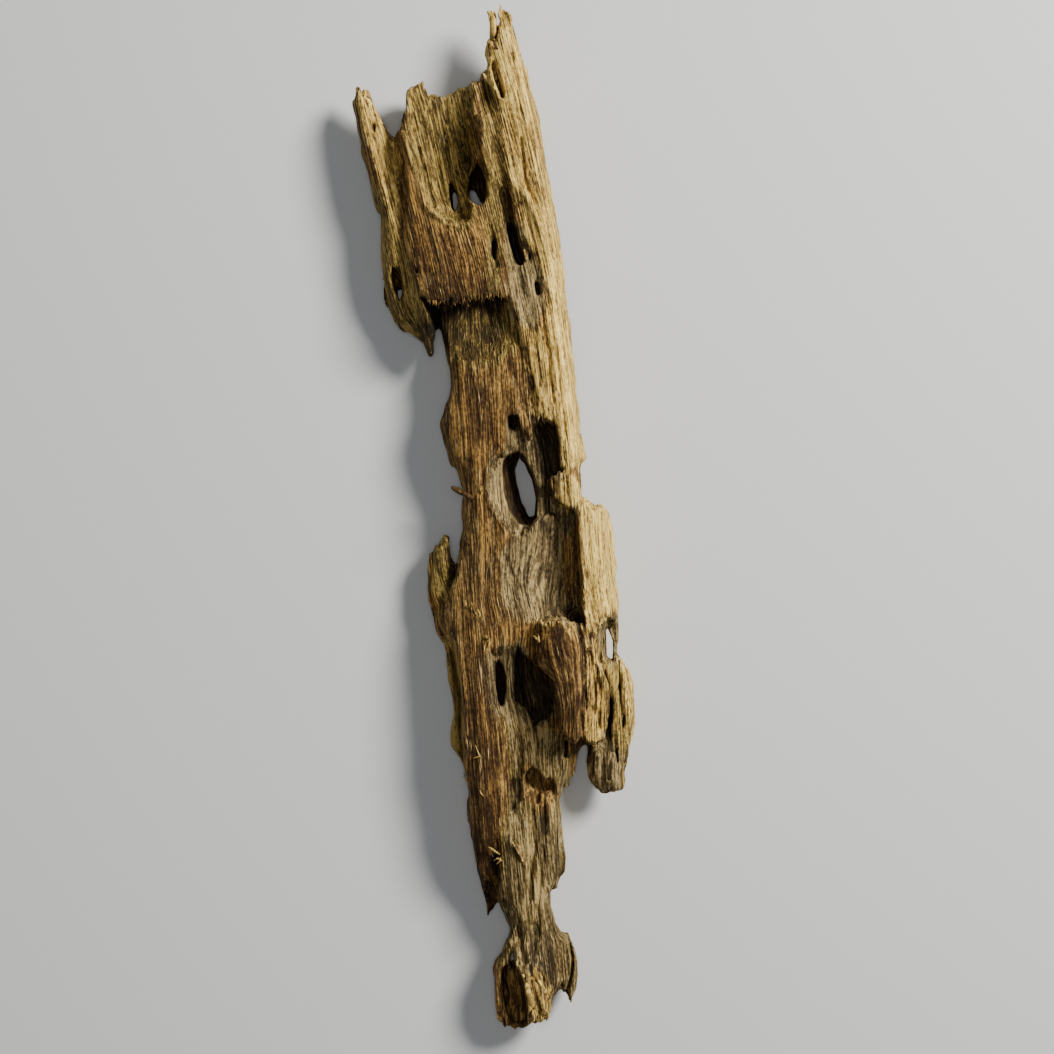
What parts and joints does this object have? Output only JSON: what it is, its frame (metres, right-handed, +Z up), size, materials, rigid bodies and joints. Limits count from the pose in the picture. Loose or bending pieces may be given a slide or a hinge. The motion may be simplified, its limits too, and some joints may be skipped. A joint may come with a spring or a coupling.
{
  "type": "driftwood piece",
  "caption": "Long, flat piece of weathered driftwood lying on its back, with splintered ends, broken layers, worn-through holes and deep straight grain.",
  "frame": {"origin": "on the surface that the piece rests on, under the middle of its outline", "axes": "+Y along the grain towards the tall spike, +X towards the pale ridge, +Z up out of the weathered front face"},
  "size_m": [0.08, 0.288, 0.0271],
  "materials": {
    "weathered_wood": "bare weathered wood, golden brown on the front, pale and grey on the worn ridges, dark in the hollows"
  },
  "bodies": {
    "root": {"driftwood": "weathered_wood"}
  },
  "joints": []
}
